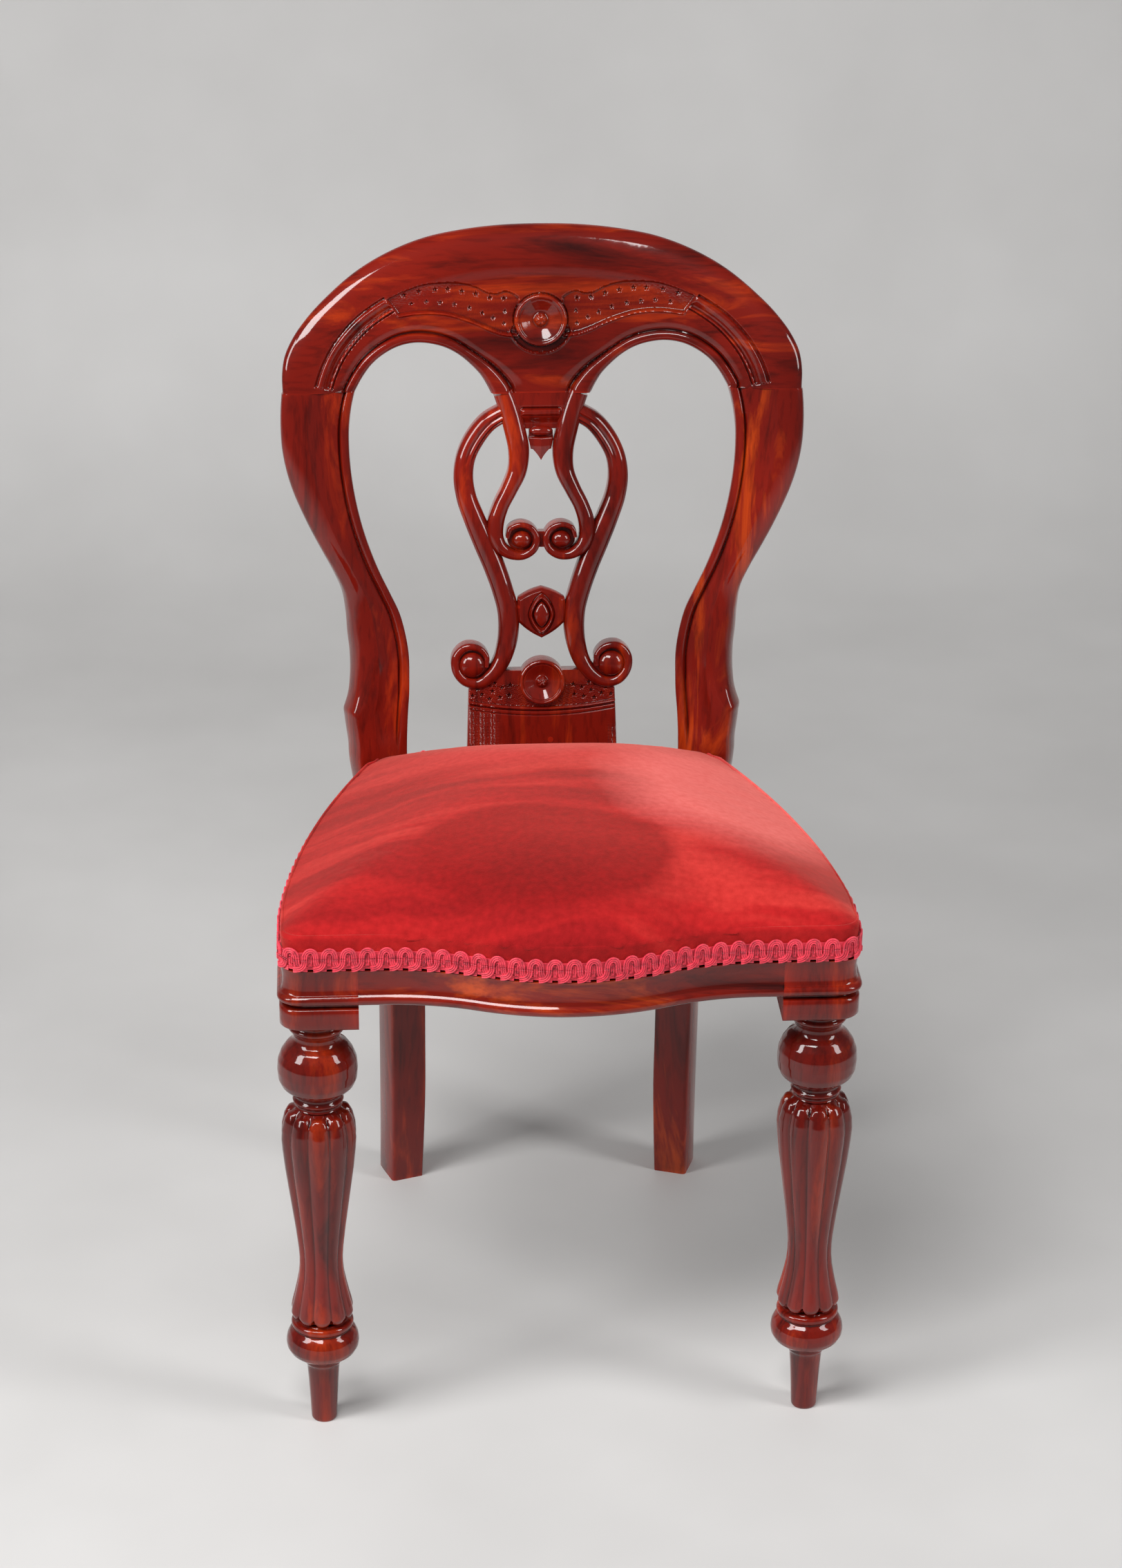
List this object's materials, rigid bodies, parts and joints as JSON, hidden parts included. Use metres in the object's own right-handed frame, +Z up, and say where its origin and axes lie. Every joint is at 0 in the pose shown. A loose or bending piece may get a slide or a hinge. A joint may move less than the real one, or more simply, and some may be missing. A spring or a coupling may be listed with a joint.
{
  "type": "balloon back dining chair",
  "caption": "Dining chair with turned and reeded front legs, a carved hooped back with a pierced scroll splat, and a stuffed velvet seat trimmed with braid.",
  "frame": {"origin": "On the floor, under the middle of the chair's bounding box.", "axes": "+Z is up, +X is to the viewer's right as the chair faces the viewer, and +Y points from the front legs to the back, so the chair faces -Y."},
  "size_m": [0.5046, 0.5927, 0.9624],
  "materials": {
    "mahogany": "glossy polished, deep red",
    "bare_wood": "unfinished",
    "steel": "plain",
    "webbing": "woven jute",
    "hessian": "coarse woven",
    "stuffing": "curled hair",
    "velvet": "crimson velvet with brushed nap",
    "braid": "woven braid",
    "black_cloth": "thin woven cotton"
  },
  "bodies": {
    "root": {"front_leg_left": "mahogany", "front_leg_right": "mahogany", "back_post_left": "mahogany", "back_post_right": "mahogany", "crest_rail": "mahogany", "splat": "mahogany", "front_rail": "mahogany", "side_rail_left": "mahogany", "side_rail_right": "mahogany", "back_rail": "mahogany", "corner_block_front_left": "bare_wood", "corner_block_front_right": "bare_wood", "corner_block_rear_left": "bare_wood", "corner_block_rear_right": "bare_wood", "corner_block_screws": "steel", "rail_dowels": "bare_wood", "crest_dowels": "bare_wood", "splat_plug": "mahogany", "splat_screw": "steel", "seat_webbing": "webbing", "seat_hessian": "hessian", "seat_stuffing": "stuffing", "seat_cover": "velvet", "gimp_braid": "braid", "gimp_back": "braid", "dust_cover": "black_cloth"}
  },
  "joints": []
}
